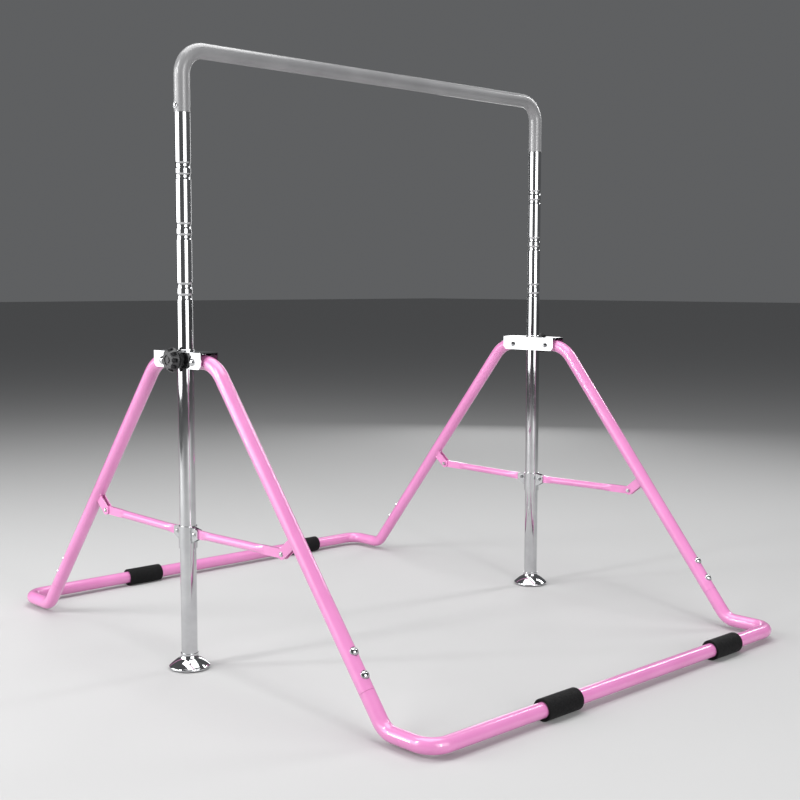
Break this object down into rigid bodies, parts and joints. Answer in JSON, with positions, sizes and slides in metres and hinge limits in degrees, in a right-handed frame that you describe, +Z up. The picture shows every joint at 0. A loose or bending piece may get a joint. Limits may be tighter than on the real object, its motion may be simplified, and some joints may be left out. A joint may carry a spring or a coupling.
{
  "type": "kip bar",
  "caption": "Folding gymnastics kip bar: a grip bar on telescopic posts, held up by hinged leg frames with floor rails and folding braces.",
  "frame": {"origin": "on the floor, midway between the two posts", "axes": "+X along the grip bar, -Y to the front, +Z up; front and rear frames mirror each other in Y"},
  "size_m": [1.372, 1.7234, 1.499],
  "materials": {
    "pink": "gloss powder coat",
    "grey_bar": "satin grey coat",
    "chrome": "mirror",
    "zinc": "bright zinc plating",
    "black_rubber": "matte",
    "foam": "matte charcoal",
    "black_plastic": "satin black",
    "white_plastic": "natural nylon"
  },
  "bodies": {
    "posts": {"left_lower_post": "chrome", "left_post_ring": "chrome", "left_foot": "chrome", "left_foot_pad": "black_rubber", "left_bracket": "chrome", "left_pivot_bolts": "chrome", "left_lock_hub": "black_plastic", "left_lock_insert": "zinc", "right_lower_post": "chrome", "right_post_ring": "chrome", "right_foot": "chrome", "right_foot_pad": "black_rubber", "right_bracket": "chrome", "right_pivot_bolts": "chrome", "right_lock_hub": "black_plastic", "right_lock_insert": "zinc"},
    "bar_assembly": {"top_bar": "grey_bar", "bar_bolts": "chrome", "left_upper_post": "chrome", "left_post_plug": "white_plastic", "right_upper_post": "chrome", "right_post_plug": "white_plastic"},
    "front_frame": {"front_base_tube": "pink", "front_leg_bolts": "chrome", "front_clevis_bolts": "zinc", "front_left_leg": "pink", "front_left_clevis": "pink", "front_left_sleeve": "foam", "front_right_leg": "pink", "front_right_clevis": "pink", "front_right_sleeve": "foam"},
    "rear_frame": {"rear_base_tube": "pink", "rear_leg_bolts": "chrome", "rear_clevis_bolts": "zinc", "rear_left_leg": "pink", "rear_left_clevis": "pink", "rear_left_sleeve": "foam", "rear_right_leg": "pink", "rear_right_clevis": "pink", "rear_right_sleeve": "foam"},
    "left_collar": {"left_collar_outer": "chrome", "left_collar_inner": "chrome", "left_collar_bolts": "zinc"},
    "front_left_brace_body": {"front_left_brace": "pink", "front_left_brace_pin": "zinc"},
    "rear_left_brace_body": {"rear_left_brace": "pink", "rear_left_brace_pin": "zinc"},
    "left_lock_screw": {"left_lock_spindle": "zinc"},
    "left_lock_handle": {"left_lock_knob": "black_plastic"},
    "right_collar": {"right_collar_outer": "chrome", "right_collar_inner": "chrome", "right_collar_bolts": "zinc"},
    "front_right_brace_body": {"front_right_brace": "pink", "front_right_brace_pin": "zinc"},
    "rear_right_brace_body": {"rear_right_brace": "pink", "rear_right_brace_pin": "zinc"},
    "right_lock_screw": {"right_lock_spindle": "zinc"},
    "right_lock_handle": {"right_lock_knob": "black_plastic"}
  },
  "joints": [
    {"name": "bar_lift", "type": "slide", "parent": "posts", "child": "bar_assembly", "axis": [0, 0, 1], "range_m": [-0.444, 0]},
    {"name": "front_fold", "type": "hinge", "parent": "posts", "child": "front_frame", "pos_m": [0, -0.064, 0.749], "axis": [1, 0, 0], "range_deg": [0, 26]},
    {"name": "rear_fold", "type": "hinge", "parent": "posts", "child": "rear_frame", "pos_m": [0, 0.064, 0.749], "axis": [1, 0, 0], "range_deg": [-26.05, 0]},
    {"name": "left_collar_slide", "type": "slide", "parent": "posts", "child": "left_collar", "axis": [0, 0, 1], "range_m": [0, 0.2238]},
    {"name": "front_left_brace_swing", "type": "hinge", "parent": "left_collar", "child": "front_left_brace_body", "pos_m": [-0.634, -0.036, 0.335], "axis": [1, 0, 0], "range_deg": [0, 68.9]},
    {"name": "rear_left_brace_swing", "type": "hinge", "parent": "left_collar", "child": "rear_left_brace_body", "pos_m": [-0.634, 0.036, 0.335], "axis": [1, 0, 0], "range_deg": [-68.9, 0]},
    {"name": "left_lock_travel", "type": "slide", "parent": "posts", "child": "left_lock_screw", "axis": [-1, 0, 0], "range_m": [0, 0.00301]},
    {"name": "left_lock_turn", "type": "hinge", "parent": "left_lock_screw", "child": "left_lock_handle", "pos_m": [-0.686, 0, 0.753], "axis": [-1, 0, 0], "range_deg": [0, 720]},
    {"name": "right_collar_slide", "type": "slide", "parent": "posts", "child": "right_collar", "axis": [0, 0, 1], "range_m": [0, 0.2238]},
    {"name": "front_right_brace_swing", "type": "hinge", "parent": "right_collar", "child": "front_right_brace_body", "pos_m": [0.634, -0.036, 0.335], "axis": [1, 0, 0], "range_deg": [0, 68.9]},
    {"name": "rear_right_brace_swing", "type": "hinge", "parent": "right_collar", "child": "rear_right_brace_body", "pos_m": [0.634, 0.036, 0.335], "axis": [1, 0, 0], "range_deg": [-68.9, 0]},
    {"name": "right_lock_travel", "type": "slide", "parent": "posts", "child": "right_lock_screw", "axis": [1, 0, 0], "range_m": [0, 0.00301]},
    {"name": "right_lock_turn", "type": "hinge", "parent": "right_lock_screw", "child": "right_lock_handle", "pos_m": [0.686, 0, 0.753], "axis": [1, 0, 0], "range_deg": [0, 720]}
  ],
  "couplings": [
    {"joint": "rear_fold", "follows": "front_fold", "ratio": -1},
    {"joint": "left_collar_slide", "follows": "front_fold", "m_per_rad": 0.49303},
    {"joint": "front_left_brace_swing", "follows": "front_fold", "ratio": 2.6486},
    {"joint": "rear_left_brace_swing", "follows": "front_fold", "ratio": -2.6486},
    {"joint": "left_lock_travel", "follows": "left_lock_turn", "m_per_rad": 0.00023873},
    {"joint": "right_collar_slide", "follows": "front_fold", "m_per_rad": 0.49303},
    {"joint": "front_right_brace_swing", "follows": "front_fold", "ratio": 2.6486},
    {"joint": "rear_right_brace_swing", "follows": "front_fold", "ratio": -2.6486},
    {"joint": "right_lock_travel", "follows": "right_lock_turn", "m_per_rad": 0.00023873}
  ]
}
